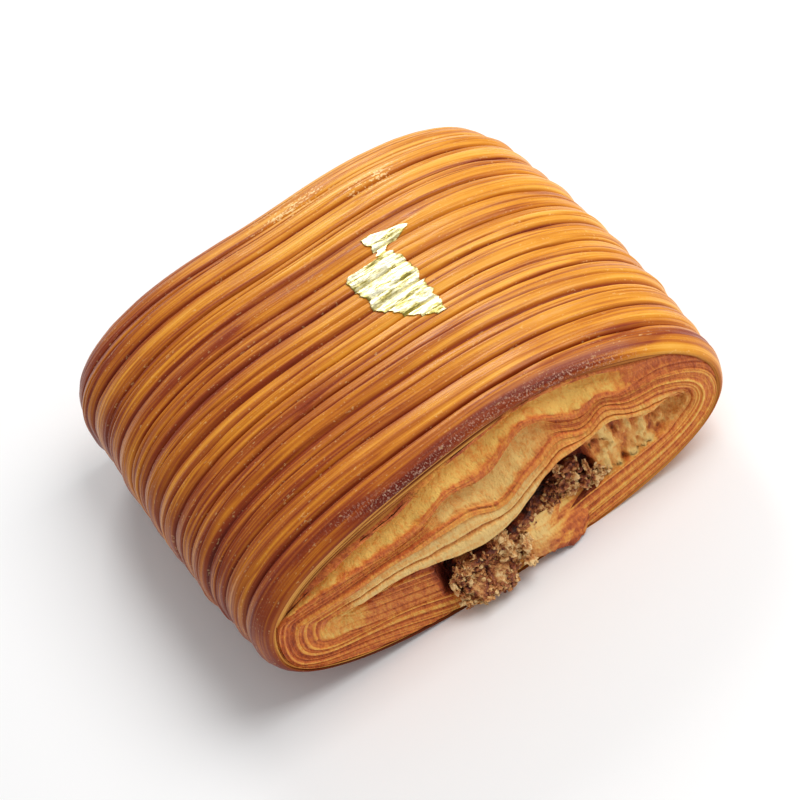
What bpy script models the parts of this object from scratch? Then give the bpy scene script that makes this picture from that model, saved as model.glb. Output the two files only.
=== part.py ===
"""Pain suisse: a flat roll of laminated dough in a ribbed wrap, with a dark filling running through it
and a torn patch of gold leaf on top.

The roll lies along Y. Its cut ends face -Y and +Y, X is across it, and it rests on Z = 0.
"""

import math

import bpy

# the roll
FRONT_WIDTH, MIDDLE_WIDTH, BACK_WIDTH = 0.110, 0.116, 0.111
FRONT_HEIGHT, MIDDLE_HEIGHT, BACK_HEIGHT = 0.0450, 0.0465, 0.0420
LENGTH = 0.094
WIDEST_LEVEL = 0.43  # height of the widest line, as a part of the roll's height
BASE_SINK = 0.0006  # what the baking tray takes off the underside
SIDEWAYS_DRIFT = -0.0040  # the back end lies this much further along X than the front end
BACK_LEFT_BULGE = 0.0015

# squareness of the four quarters of the section, as (front, back) superellipse powers
TOP_LEFT, TOP_RIGHT = (2.4, 2.5), (2.0, 2.6)
BOTTOM_LEFT, BOTTOM_RIGHT = (2.2, 2.8), (2.4, 2.8)
BACK_ROUNDING, BACK_ROUNDING_SPAN = 0.11, 0.14
FRONT_ROUNDING, FRONT_ROUNDING_SPAN = 0.09, 0.06
FRONT_LEAN, BACK_LEAN = 0.06, 0.01  # how much higher the +X shoulder is
BACK_SADDLE, SADDLE_WIDTH = 0.06, 0.35  # dip across the middle of the back end

# the ribs of the wrap
RIDGES = 13
GROOVE_DEPTH = 0.0010
RIDGE_ROWS = ((0.0, 1.0), (0.18, 0.25), (0.50, 0.0), (0.82, 0.25))  # (place in a ridge, part of the depth)
RIDGE_UNEVENNESS = 0.00025
RIB_WANDER = 0.0004
BASE_FADE = 0.004  # the ribs are pressed flat below this height

# the core of the roll, which the cut layers wrap round
CORE_CENTRE_X, CORE_HALF_WIDTH = 0.0045, 0.041
CORE_ABOVE, CORE_BELOW = 0.0065, 0.0050
CHANNEL_CENTRE_X, CHANNEL_HALF_WIDTH, CHANNEL_HALF_HEIGHT = 0.0060, 0.0185, 0.0046
LAYER_SQUARENESS = 2.4
LINE_LEVEL, LINE_CURVE = 0.0142, 1.0
LINE_DIP, LINE_DIP_X, LINE_DIP_WIDTH = 0.0060, -0.004, 0.015

# the cut ends, from the rim inward: (level, recess); level 1 is the rim, 0 the core, -1 the channel
END_PROFILE = (
    (0.955, 0.0000),
    (0.905, 0.0015),
    (0.860, 0.0006),
    (0.740, 0.0000),
    (0.630, 0.0006),
    (0.585, 0.0019),
    (0.530, 0.0007),
    (0.360, 0.0002),
    (0.160, 0.0010),
    (0.090, 0.0021),
    (0.020, 0.0011),
    (-0.400, 0.0020),
    (-1.000, 0.0034),
)
FULL_RELIEF_THICKNESS = 0.020
LEAST_RELIEF = 0.30
LAYER_WAVE, LAYER_WAVE_LENGTH, LAYER_WAVE_START = 0.20, 0.046, -0.0085

# the filling
FILLING_GAP = 0.0004
FILLING_AROUND = 32
FILLING_INNER_ROWS = 4
FILLING_END_RINGS = (0.85, 0.60, 0.30)
FILLING_LUMP = 0.0008
CRUMB_X, CRUMB_HALF_WIDTH = -0.0055, 0.0085
CRUMB_DROP, CRUMB_SPILL = 0.0030, 0.0036  # how far the crumbs hang down, and forward over the lip
CAVITY_DEPTH, CAVITY_CLEARANCE = 0.0030, 0.0136  # how far the rest of the filling stands back

# the gold leaf: a torn body that narrows to the front, a neck behind it, and a head with a tail towards +X
LEAF_THICKNESS = 0.00035
LEAF_GAP = 0.00035
LEAF_COLUMNS = 6
LEAF_LEFT, LEAF_RIGHT = 0.0030, 0.0160  # the body's sides
LEAF_FRONT, LEAF_BACK = -0.0160, 0.0080  # the body's ends
LEAF_TIP_X, LEAF_TIP_WIDTH = 0.0145, 0.0020  # what the body narrows to at the front
LEAF_LEFT_POWER, LEAF_RIGHT_POWER = 3, 8  # how late each side turns in to that tip
LEAF_CORNER = 0.0015  # what is torn off the body's corner at the back
LEAF_NECK_X, LEAF_NECK_WIDTH, LEAF_NECK_LENGTH = 0.0130, 0.0022, 0.0020
LEAF_HEAD_LENGTH, LEAF_TAIL_LENGTH, LEAF_TAIL_HALF_WIDTH = 0.0050, 0.0080, 0.0016
LEAF_STEP = 0.0004  # along Y, from the body's back edge to the neck
LEAF_ROW_GAP = 0.06  # least distance, in ridges, between the leaf's own rows and the skin's

# the mesh
AROUND = 64
CHANNEL_ROWS = 3


def remove_everything():
    for thing in list(bpy.data.objects):
        bpy.data.objects.remove(thing, do_unlink=True)


def mix(a, b, amount):
    return a + (b - a) * amount


def smooth(value):
    value = min(1.0, max(0.0, value))
    return value * value * (3.0 - 2.0 * value)


def bell(value):
    return math.exp(-value * value)


def signed_power(value, power):
    return math.copysign(abs(value) ** power, value)


def along(front, middle, back, place):
    """A curve through three values; place runs from 0 at the front end to 1 at the back end."""
    return (
        front * (1 - place) * (1 - 2 * place)
        + middle * 4 * place * (1 - place)
        + back * place * (2 * place - 1)
    )


def end_shrink(place):
    """How much of the height is left where the skin rounds over at the two ends."""
    back = min(1.0, max(0.0, (place - 1) / BACK_ROUNDING_SPAN + 1))
    front = min(1.0, max(0.0, 1 - place / FRONT_ROUNDING_SPAN))
    back_loss = BACK_ROUNDING * (1 - math.sqrt(max(0.0, 1 - back * back)))
    front_loss = FRONT_ROUNDING * (1 - math.sqrt(max(0.0, 1 - front * front)))
    return 1 - back_loss - front_loss


def section(angle, place):
    """(x, z) of the roll's outline, without ribs; angle runs from +X over the top."""
    across, up = math.cos(angle), math.sin(angle)
    half_width = along(FRONT_WIDTH, MIDDLE_WIDTH, BACK_WIDTH, place) / 2
    height = along(FRONT_HEIGHT, MIDDLE_HEIGHT, BACK_HEIGHT, place)
    if up >= 0:
        powers = TOP_LEFT if across < 0 else TOP_RIGHT
    else:
        powers = BOTTOM_LEFT if across < 0 else BOTTOM_RIGHT
    power = 2 / mix(powers[0], powers[1], place)
    side = signed_power(across, power)
    rise = abs(up) ** power
    shrink = end_shrink(place)
    widest = WIDEST_LEVEL * height
    x = half_width * side * (1 - 0.45 * (1 - shrink)) + SIDEWAYS_DRIFT * (place - 0.5)
    if side < 0:
        x -= BACK_LEFT_BULGE * side * side * bell((place - 0.93) / 0.09)
    if up < 0:
        return x, max(0.0, widest * (1 - rise) - BASE_SINK)
    lean = mix(FRONT_LEAN, BACK_LEAN, place) * side
    saddle = BACK_SADDLE * place * bell((side + 0.05) / SADDLE_WIDTH)
    return x, widest + (height - widest) * rise * (1 + lean - saddle) * shrink - BASE_SINK


def section_normal(angle, place):
    step = 0.02
    ahead, behind = section(angle + step, place), section(angle - step, place)
    across, up = ahead[1] - behind[1], behind[0] - ahead[0]
    size = math.hypot(across, up)
    return across / size, up / size


def skin_point(angle, ridge, lift=0.0):
    """A point of the ribbed skin; ridge counts the ridges from the front end."""
    number = math.floor(ridge)
    inside = ridge - number
    marks = RIDGE_ROWS + ((1.0, 1.0),)
    depth = 0.0
    for (start, start_depth), (stop, stop_depth) in zip(marks, marks[1:]):
        if start <= inside <= stop:
            depth = mix(start_depth, stop_depth, (inside - start) / (stop - start))
    ends = smooth(ridge) * smooth(RIDGES - ridge)
    place = ridge / RIDGES
    wander = RIB_WANDER * ends * math.sin(2.0 * angle + 1.3 * ridge)
    x, z = section(angle, place)
    across, up = section_normal(angle, place)
    uneven = RIDGE_UNEVENNESS * math.sin(2.4 * number + 1.0) * math.sin(math.pi * inside)
    sink = (depth * GROOVE_DEPTH - uneven) * ends * smooth(z / BASE_FADE) - lift
    return x - across * sink, (place - 0.5) * LENGTH + wander, z - up * sink


def core_line(x):
    """Height of the slit that the layers wrap round."""
    dip = LINE_DIP * bell((x - LINE_DIP_X) / LINE_DIP_WIDTH)
    return LINE_LEVEL + LINE_CURVE * x * x - dip


def oval_point(angle, centre, half_width, above, below):
    power = 2 / LAYER_SQUARENESS
    x = centre + half_width * signed_power(math.cos(angle), power)
    up = signed_power(math.sin(angle), power)
    return x, core_line(x) + up * (above if up > 0 else below)


def core_point(angle):
    return oval_point(angle, CORE_CENTRE_X, CORE_HALF_WIDTH, CORE_ABOVE, CORE_BELOW)


def channel_point(angle, gap=0.0):
    size = CHANNEL_HALF_HEIGHT - gap
    return oval_point(angle, CHANNEL_CENTRE_X, CHANNEL_HALF_WIDTH - gap, size, size)


def end_point(angle, level, recess, end):
    """A point of a cut end; end is -1 at the front and 1 at the back."""
    rim_x, rim_y, rim_z = skin_point(angle, 0.0 if end < 0 else float(RIDGES))
    core_x, core_z = core_point(angle)
    if level >= 0:
        wave_place = (rim_x - LAYER_WAVE_START * -end) / LAYER_WAVE_LENGTH
        wave = LAYER_WAVE * math.sin(2 * math.pi * wave_place) * smooth(2 * math.sin(angle))
        level += wave * 4 * level * (1 - level)
        x, z = mix(core_x, rim_x, level), mix(core_z, rim_z, level)
    else:
        channel_x, channel_z = channel_point(angle)
        x, z = mix(core_x, channel_x, -level), mix(core_z, channel_z, -level)
    thickness = math.hypot(rim_x - core_x, rim_z - core_z)
    relief = max(LEAST_RELIEF, smooth(thickness / FULL_RELIEF_THICKNESS)) if level >= 0 else 1.0
    return x, rim_y - end * recess * relief, z


def rings_mesh(name, rings, closed):
    """Joins rings of points with quads, round to the first ring again or with fans over both ends."""
    around = len(rings[0])
    points = [point for ring in rings for point in ring]
    pairs = list(zip(range(len(rings)), range(1, len(rings))))
    if closed:
        pairs.append((len(rings) - 1, 0))
    faces = []
    for low, high in pairs:
        for i in range(around):
            j = (i + 1) % around
            faces.append((low * around + i, high * around + i, high * around + j, low * around + j))
    if not closed:
        for ring_number, turn in ((0, 1), (len(rings) - 1, -1)):
            ring = rings[ring_number]
            middle = tuple(sum(point[axis] for point in ring) / around for axis in range(3))
            points.append(middle)
            for i in range(around):
                edge = (ring_number * around + i, ring_number * around + (i + 1) % around)
                faces.append((*edge[::turn], len(points) - 1))
    mesh = bpy.data.meshes.new(name)
    mesh.from_pydata(points, [], faces)
    mesh.validate()
    mesh.shade_smooth()
    thing = bpy.data.objects.new(name, mesh)
    bpy.context.scene.collection.objects.link(thing)
    return thing


def paint(thing, colour, roughness, metallic=0.0):
    material = bpy.data.materials.new(thing.name)
    material.use_nodes = True
    shader = material.node_tree.nodes["Principled BSDF"]
    shader.inputs["Base Color"].default_value = (*colour, 1.0)
    shader.inputs["Roughness"].default_value = roughness
    shader.inputs["Metallic"].default_value = metallic
    thing.data.materials.append(material)


def ring_angles(count):
    return [2 * math.pi * i / count for i in range(count)]


def make_pastry():
    angles = ring_angles(AROUND)
    rings = [[end_point(a, level, recess, -1) for a in angles] for level, recess in END_PROFILE[::-1]]
    for number in range(RIDGES):
        for start, _ in RIDGE_ROWS:
            rings.append([skin_point(a, number + start) for a in angles])
    rings.append([skin_point(a, float(RIDGES)) for a in angles])
    rings += [[end_point(a, level, recess, 1) for a in angles] for level, recess in END_PROFILE]
    back, front = rings[-1], rings[0]
    for row in range(1, CHANNEL_ROWS):
        amount = row / CHANNEL_ROWS
        rings.append(
            [tuple(mix(b, f, amount) for b, f in zip(*pair)) for pair in zip(back, front)]
        )
    pastry = rings_mesh("pastry", rings, closed=True)
    paint(pastry, (0.62, 0.27, 0.06), 0.42)


def crumb_share(x, angle):
    """How much a point of the filling's section belongs to the crumbs that spill at the front."""
    share = bell(((x - CRUMB_X) / CRUMB_HALF_WIDTH) ** 2) * smooth(0.35 - 1.3 * math.sin(angle))
    return smooth((share - 0.3) / 0.7)


def cavity_share(x):
    """How much a point stands back in the cavity; it is 0 well past the crumbs on either side."""
    return 1 - smooth(3 * bell(((x - CRUMB_X) / CAVITY_CLEARANCE) ** 2))


def filling_ring(y, size=1.0, drop=0.0, spill=0.0, cavity=0.0):
    """One ring of the filling, drawn in towards its middle line by size."""
    ring = []
    lump = FILLING_LUMP if size < 1 else 0.0
    for i, angle in enumerate(ring_angles(FILLING_AROUND)):
        wall_x, wall_z = channel_point(angle, FILLING_GAP)
        x = mix(CHANNEL_CENTRE_X, wall_x, size)
        z = core_line(x) + (wall_z - core_line(wall_x)) * size
        share = crumb_share(x, angle)
        rough = lump * math.sin(2.3 * i + 900 * y)
        ring.append((x, y - spill * share + cavity * cavity_share(x) + rough, z - drop * share * size))
    return ring


def make_filling():
    face = -LENGTH / 2
    back = LENGTH / 2 - 0.0020
    rings = []
    for size in FILLING_END_RINGS[::-1]:
        rings.append(filling_ring(face - 0.0010, size, CRUMB_DROP, CRUMB_SPILL, CAVITY_DEPTH))
    rings.append(filling_ring(face - 0.0008, 0.97, CRUMB_DROP, CRUMB_SPILL * 0.7, CAVITY_DEPTH))
    rings.append(filling_ring(face - 0.0005, 1.0, CRUMB_DROP, 0.0, CAVITY_DEPTH))
    for row in range(FILLING_INNER_ROWS + 1):
        y = mix(face - 0.0004, back, row / FILLING_INNER_ROWS)
        rings.append(filling_ring(y, cavity=CAVITY_DEPTH + 0.0004 if row == 0 else 0.0))
    for size in FILLING_END_RINGS:
        rings.append(filling_ring(back + 0.0006, size))
    filling = rings_mesh("filling", rings, closed=False)
    paint(filling, (0.12, 0.05, 0.025), 0.7)


def skin_angle(x, ridge):
    """The angle at which the top of the skin has this x."""
    low, high = math.radians(20), math.radians(160)
    for _ in range(40):
        middle = (low + high) / 2
        if skin_point(middle, ridge)[0] > x:
            low = middle
        else:
            high = middle
    return (low + high) / 2


def leaf_edges(y):
    """The leaf's left and right edge at y: the body up to its back end, then the neck and the head."""
    if y <= LEAF_BACK:
        place = (LEAF_BACK - y) / (LEAF_BACK - LEAF_FRONT)
        left = mix(LEAF_LEFT, LEAF_TIP_X - LEAF_TIP_WIDTH / 2, place ** LEAF_LEFT_POWER)
        right = mix(LEAF_RIGHT, LEAF_TIP_X + LEAF_TIP_WIDTH / 2, place ** LEAF_RIGHT_POWER)
        return left, right - LEAF_CORNER * (1 - place) ** LEAF_RIGHT_POWER
    neck_back = LEAF_BACK + LEAF_NECK_LENGTH
    head = min(1.0, max(0.0, (y - neck_back) / LEAF_HEAD_LENGTH))
    tail = LEAF_TAIL_LENGTH * bell((y - neck_back - LEAF_HEAD_LENGTH / 2) / LEAF_TAIL_HALF_WIDTH)
    left = LEAF_NECK_X - LEAF_NECK_WIDTH / 2 - LEAF_NECK_WIDTH / 2 * head
    return left, LEAF_NECK_X + LEAF_NECK_WIDTH / 2 * (1 - head) + tail


def leaf_ridges():
    """Where the leaf's rows lie: at the ends of its parts, and on the skin's rows between them."""
    neck_back = LEAF_BACK + LEAF_NECK_LENGTH
    tail = neck_back + LEAF_HEAD_LENGTH / 2
    ends = (LEAF_FRONT, LEAF_BACK, LEAF_BACK + LEAF_STEP, neck_back, neck_back + LEAF_HEAD_LENGTH)
    ys = ends + (tail - LEAF_TAIL_HALF_WIDTH / 2, tail, tail + LEAF_TAIL_HALF_WIDTH / 2)
    own = sorted((y / LENGTH + 0.5) * RIDGES for y in ys)
    skin = [number + start for number in range(RIDGES) for start, _ in RIDGE_ROWS]
    between = [row for row in skin if own[0] < row < own[-1]]
    free = [row for row in between if min(abs(row - other) for other in own) > LEAF_ROW_GAP]
    return sorted(own + free)


def make_gold_leaf():
    rings = []
    for ridge in leaf_ridges():
        y = (ridge / RIDGES - 0.5) * LENGTH
        left, right = leaf_edges(y)
        angles = [skin_angle(mix(left, right, i / LEAF_COLUMNS), ridge) for i in range(LEAF_COLUMNS + 1)]
        under = [skin_point(angle, ridge, LEAF_GAP) for angle in angles]
        over = [skin_point(angle, ridge, LEAF_GAP + LEAF_THICKNESS) for angle in angles]
        rings.append(over[::-1] + under)
    leaf = rings_mesh("gold_leaf", rings, closed=False)
    paint(leaf, (0.95, 0.82, 0.38), 0.25, metallic=1.0)


def centre_on_origin():
    """Moves all the meshes together, so that the middle of their box lies over the origin."""
    meshes = [thing.data for thing in bpy.context.scene.objects]
    for axis in (0, 1):
        values = [vertex.co[axis] for mesh in meshes for vertex in mesh.vertices]
        middle = (min(values) + max(values)) / 2
        for mesh in meshes:
            for vertex in mesh.vertices:
                vertex.co[axis] -= middle


def main():
    remove_everything()
    make_pastry()
    make_filling()
    make_gold_leaf()
    centre_on_origin()


main()
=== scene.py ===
import math

import bpy
import numpy as np
from mathutils import Matrix, Vector


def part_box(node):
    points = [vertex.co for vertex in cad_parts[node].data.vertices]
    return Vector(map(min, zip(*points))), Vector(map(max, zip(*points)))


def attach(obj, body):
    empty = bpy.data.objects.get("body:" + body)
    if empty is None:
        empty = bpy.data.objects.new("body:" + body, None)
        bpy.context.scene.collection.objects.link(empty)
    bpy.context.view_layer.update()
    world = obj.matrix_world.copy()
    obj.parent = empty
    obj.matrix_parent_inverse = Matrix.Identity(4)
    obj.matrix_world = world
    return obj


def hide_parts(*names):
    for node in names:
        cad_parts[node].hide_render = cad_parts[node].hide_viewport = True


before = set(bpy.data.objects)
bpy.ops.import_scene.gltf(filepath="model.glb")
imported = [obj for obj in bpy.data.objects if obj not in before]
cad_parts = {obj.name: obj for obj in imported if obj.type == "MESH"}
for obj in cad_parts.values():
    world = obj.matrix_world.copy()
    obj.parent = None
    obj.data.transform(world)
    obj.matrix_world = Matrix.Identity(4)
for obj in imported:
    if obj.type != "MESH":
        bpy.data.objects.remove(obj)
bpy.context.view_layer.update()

# the flat roll; where three values are given, they are at its front end, middle and back end
roll = {
    "width": (0.110, 0.116, 0.111),
    "height": (0.0450, 0.0465, 0.0420),
    "length": 0.094,
    "widestLevel": 0.43,
    "baseSink": 0.0006,
    "drift": -0.0040,
    "endNarrowing": 0.45,  # how far the width follows the height where the ends are rounded
    "bulge": 0.0015,  # at the back end's -X side
    "bulgePlace": (0.93, 0.09),  # its middle and half length, as parts of the length
    "topLeft": (2.4, 2.5),  # squareness of each quarter, front and back
    "topRight": (2.0, 2.6),
    "bottomLeft": (2.2, 2.8),
    "bottomRight": (2.4, 2.8),
    "backRounding": (0.11, 0.14),  # part of the height, part of the length
    "frontRounding": (0.09, 0.06),
    "lean": (0.06, 0.01),
    "saddle": (0.06, 0.35),  # depth and width of the dip across the back end
}


def mix(a, b, amount):
    return a + (b - a) * amount


def smooth(value):
    value = np.clip(value, 0.0, 1.0)
    return value * value * (3 - 2 * value)


def bell(value):
    return np.exp(-value * value)


def signedPower(value, power):
    return np.sign(value) * np.abs(value) ** power


# random heights on a grid, joined smoothly: from -1 to 1, one wave for each unit or so
def softNoise(x, y, z, seed):
    side = 48
    lattice = np.random.default_rng(seed).uniform(-1, 1, (side, side, side))
    x, y, z = np.broadcast_arrays(x, y, z)
    low = [np.floor(value).astype(int) for value in (x, y, z)]
    part = [value - floor for value, floor in zip((x, y, z), low)]
    part = [value * value * (3 - 2 * value) for value in part]
    total = np.zeros(x.shape)
    for corner in np.ndindex(2, 2, 2):
        weight = np.ones(x.shape)
        for value, step in zip(part, corner):
            weight = weight * (value if step else 1 - value)
        total += weight * lattice[tuple((floor + step) % side for floor, step in zip(low, corner))]
    return total


def layeredNoise(x, y, z, seed, octaves=3):
    total, size = 0.0, 1.0
    for octave in range(octaves):
        scale = 2.0 ** octave
        total = total + size * softNoise(x * scale, y * scale, z * scale, seed + octave)
        size *= 0.5
    return total / (2 - 2.0 ** (1 - octaves))


def along(values, place):
    front, middle, back = values
    return (
        front * (1 - place) * (1 - 2 * place)
        + middle * 4 * place * (1 - place)
        + back * place * (2 * place - 1)
    )


def endShrink(place):
    backLoss, backSpan = roll["backRounding"]
    frontLoss, frontSpan = roll["frontRounding"]
    back = np.clip((place - 1) / backSpan + 1, 0, 1)
    front = np.clip(1 - place / frontSpan, 0, 1)
    return 1 - backLoss * (1 - np.sqrt(1 - back * back)) - frontLoss * (1 - np.sqrt(1 - front * front))


# x and z of the roll's outline without ribs; the angle runs from +X over the top
def section(angle, place):
    across, up = np.cos(angle), np.sin(angle)
    halfWidth = along(roll["width"], place) / 2
    height = along(roll["height"], place)
    top = np.where(across < 0, mix(*roll["topLeft"], place), mix(*roll["topRight"], place))
    bottom = np.where(across < 0, mix(*roll["bottomLeft"], place), mix(*roll["bottomRight"], place))
    power = 2 / np.where(up >= 0, top, bottom)
    side = signedPower(across, power)
    rise = np.abs(up) ** power
    shrink = endShrink(place)
    widest = roll["widestLevel"] * height
    x = halfWidth * side * (1 - roll["endNarrowing"] * (1 - shrink)) + roll["drift"] * (place - 0.5)
    bulgeMiddle, bulgeHalf = roll["bulgePlace"]
    x = x - roll["bulge"] * np.minimum(side, 0) ** 2 * bell((place - bulgeMiddle) / bulgeHalf)
    depth, spread = roll["saddle"]
    shape = 1 + mix(*roll["lean"], place) * side - depth * place * bell((side + 0.05) / spread)
    above = widest + (height - widest) * rise * shape * shrink
    z = np.where(up >= 0, above, widest * (1 - rise)) - roll["baseSink"]
    return x, np.maximum(z, 0)


def sectionNormal(angle, place):
    ahead, behind = section(angle + 0.02, place), section(angle - 0.02, place)
    across, up = ahead[1] - behind[1], behind[0] - ahead[0]
    size = np.hypot(across, up)
    return across / size, up / size


# lumps of one size: 0 in the middle of each, rising to about 1 between them
def clumps(x, z, seed):
    side = 64
    shift = np.random.default_rng(seed).uniform(0.1, 0.9, (2, side, side))
    x, z = np.broadcast_arrays(x, z)
    cellX, cellZ = np.floor(x).astype(int), np.floor(z).astype(int)
    nearest = np.full(x.shape, 9.0)
    for stepX, stepZ in np.ndindex(3, 3):
        placeX, placeZ = cellX + stepX - 1, cellZ + stepZ - 1
        jitter = shift[:, placeX % side, placeZ % side]
        nearest = np.minimum(nearest, np.hypot(placeX + jitter[0] - x, placeZ + jitter[1] - z))
    return nearest


# the ribs that the cut layers of the wrap make; places and widths are in ribs, depths in metres
ribs = {
    "count": 13,
    "mainDepth": 0.00105,
    "mainWidth": 0.055,
    "crownDepth": 0.00045,
    # the halo is a dark band round each groove on the -X side: painted shade
    "haloWidth": 0.22,
    "haloDark": 0.54,
    "haloChange": (0.85, 0.45, 1.9, 2.4),  # mean share, how far it changes, and the rate and start of that
    # fine lines: how many in a rib, width, depth, darkness
    "strands": ((3.4, 0.20, 0.00030, 0.52), (7.5, 0.30, 0.00013, 0.34)),
    "strandLength": 34,
    "unevenness": 0.00022,
    "wander": 0.0004,
    "baseFade": 0.004,
    "seed": 21,
    # grooves between ribs, and lesser ones within them: least and most depth, width and darkness, how far
    # they wander, and one more than the most waves in them
    "main": ((0.8, 1.05), (0.8, 1.4), (0.8, 1.0), 0.014, 4),
    "lesser": ((0.3, 0.6), (0.5, 0.9), (0.5, 0.8), 0.10, 3),
    "lesserShare": 0.75,
    "lesserPlace": (0.3, 0.7),
}


def newGroove(draw, place, kind):
    depths, widths, darks, wander, waves = ribs[kind]
    return {
        "place": place,
        "depth": ribs["mainDepth"] * draw.uniform(*depths),
        "width": ribs["mainWidth"] * draw.uniform(*widths),
        "dark": draw.uniform(*darks),
        "wander": wander,
        "waves": draw.integers(1, waves),
        "start": draw.uniform(0, 6.3),
    }


def grooveList():
    draw = np.random.default_rng(ribs["seed"])
    grooves = []
    for number in range(1, ribs["count"]):
        grooves.append(newGroove(draw, number, "main"))
        if draw.uniform() < ribs["lesserShare"]:
            grooves.append(newGroove(draw, number + draw.uniform(*ribs["lesserPlace"]), "lesser"))
    return grooves


# depth and darkness of the grooves at each point of the skin; the darkness is partly the crust's own colour
# and partly painted shade in the grooves, most on the -X side
def grooveRelief(angle, ridge, x, z):
    inside = ridge - np.floor(ridge)
    depth = ribs["crownDepth"] * np.abs(np.cos(math.pi * inside)) ** 1.5
    depth = depth - ribs["unevenness"] * np.sin(2.4 * np.floor(ridge) + 1) * np.sin(math.pi * inside)
    mean, change, rate, start = ribs["haloChange"]
    halo = ribs["haloDark"] * (mean + change * np.sin(rate * np.round(ridge) + start))
    dark = halo * bell((inside - np.round(inside)) / ribs["haloWidth"]) * smooth((0.03 - x) / 0.05)
    for groove in grooveList():
        shift = groove["wander"] * np.sin(groove["waves"] * angle + groove["start"])
        mark = bell((ridge - groove["place"] - shift) / groove["width"])
        depth = depth + mark * groove["depth"]
        dark = np.maximum(dark, mark * groove["dark"])
    reach = ribs["strandLength"]
    for number, (count, width, deep, darkness) in enumerate(ribs["strands"]):
        noise = softNoise(ridge * count, x * reach, z * reach, 11 + number)
        strength = 0.55 + 0.45 * softNoise(ridge * 2.1, x * 30, z * 30, 15 + number)
        mark = np.clip(1 - np.abs(noise) / width, 0, 1) * strength
        depth = depth + mark * deep
        dark = np.maximum(dark, mark * darkness)
    return depth, dark


# points of the ribbed skin, and how dark the grooves are there
def skinPoints(angle, ridge, lift=0.0):
    place = ridge / ribs["count"]
    ends = smooth(ridge) * smooth(ribs["count"] - ridge)
    x, z = section(angle, place)
    across, up = sectionNormal(angle, place)
    depth, dark = grooveRelief(angle, ridge, x, z)
    pressed = smooth(z / ribs["baseFade"])
    wander = ribs["wander"] * ends * np.sin(2 * angle + 1.3 * ridge)
    rough = 0.00010 * layeredNoise(x * 260, ridge * 4.0, z * 260, 5) * pressed
    sink = depth * ends * pressed - lift - rough
    y = (place - 0.5) * roll["length"] + wander
    return x - across * sink, y, z - up * sink, dark * mix(0.75, 1, ends)


# the core that the layers wrap round, and the channel that holds the filling
core = {
    "centre": 0.0045,
    "halfWidth": 0.041,
    "above": 0.0065,
    "below": 0.0050,
    "squareness": 2.4,
    "lineLevel": 0.0142,
    "lineCurve": 1.0,
    "dip": (0.0060, -0.004, 0.015),  # depth, x, width
    "channelCentre": 0.0060,
    "channelHalfWidth": 0.0185,
    "channelHalfHeight": 0.0046,
}


def coreLine(x):
    depth, centre, width = core["dip"]
    return core["lineLevel"] + core["lineCurve"] * x * x - depth * bell((x - centre) / width)


def ovalPoints(angle, centre, halfWidth, above, below):
    power = 2 / core["squareness"]
    x = centre + halfWidth * signedPower(np.cos(angle), power)
    up = signedPower(np.sin(angle), power)
    return x, coreLine(x) + up * np.where(up > 0, above, below)


def corePoints(angle):
    return ovalPoints(angle, core["centre"], core["halfWidth"], core["above"], core["below"])


def channelPoints(angle, gap=0.0):
    size = core["channelHalfHeight"] - gap
    return ovalPoints(angle, core["channelCentre"], core["channelHalfWidth"] - gap, size, size)


# a grid primitive shaped to rows of points, closed where its edges meet, with values for its material
def shapedGrid(name, points, values):
    rows, columns = points.shape[0], points.shape[1]
    bpy.ops.object.select_all(action="DESELECT")
    bpy.ops.mesh.primitive_grid_add(x_subdivisions=columns - 1, y_subdivisions=rows - 1, size=2)
    piece = bpy.context.object
    piece.name = piece.data.name = name
    flat = np.empty(rows * columns * 3)
    piece.data.vertices.foreach_get("co", flat)
    flat = flat.reshape(-1, 3).round(5)
    order = np.lexsort((flat[:, 0], flat[:, 1]))
    places = np.empty_like(flat)
    places[order] = points.reshape(-1, 3)
    piece.data.vertices.foreach_set("co", places.ravel())
    for label, value in values.items():
        column = np.empty(rows * columns)
        column[order] = np.broadcast_to(value, (rows, columns)).ravel()
        piece.data.attributes.new(label, "FLOAT", "POINT").data.foreach_set("value", column)
    bpy.ops.object.mode_set(mode="EDIT")
    bpy.ops.mesh.select_all(action="SELECT")
    bpy.ops.mesh.remove_doubles(threshold=1e-7)
    bpy.ops.mesh.normals_make_consistent(inside=False)
    bpy.ops.mesh.faces_shade_smooth()
    bpy.ops.object.mode_set(mode="OBJECT")
    while piece.data.uv_layers:
        piece.data.uv_layers.remove(piece.data.uv_layers[0])
    return piece


# rows of several parts, one below the other
def stacked(parts):
    full = [np.broadcast_arrays(*part) for part in parts]
    return [np.concatenate(values) for values in zip(*full)]


def around(count):
    return np.linspace(0, 2 * math.pi, count + 1)[None, :]


def steps(start, stop, count):
    return np.linspace(start, stop, count)[:, None]


# moves points from the roll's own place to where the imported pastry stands
def seated(x, y, z):
    low, high = (Vector(corner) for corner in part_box("pastry"))
    angle = np.linspace(0, 2 * math.pi, 257)[None, :]
    ridge = np.linspace(0, ribs["count"], 27)[:, None]
    skinX = section(angle, ridge / ribs["count"])[0]
    shiftX = (low.x + high.x) / 2 - (skinX.min() + skinX.max()) / 2
    shiftY = (low.y + high.y) / 2
    return np.stack(np.broadcast_arrays(x + shiftX, y + shiftY, z), axis=-1)


wrap = {
    "around": 176,
    "skinRows": 504,
    "lipRows": 26,
    "wallRows": 6,
    "innerLevel": 0.942,
    "wallDepth": 0.009,
    "burnt": (0.0022, 0.0004, 0.0013),  # from the front end on the left and on the right, and half width
    "setBack": (0.0023, 0.018, 0.026, 0.012),  # the dip in the front rim: depth, x, width, reach along Y
}


# how far the front rim stands back from the end plane
def rimSetBack(x, z, y):
    depth, middle, width, reach = wrap["setBack"]
    near = smooth(1 - (y + roll["length"] / 2) / reach)
    return depth * bell((x - middle) / width) * smooth((z - 0.018) / 0.018) * near


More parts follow.
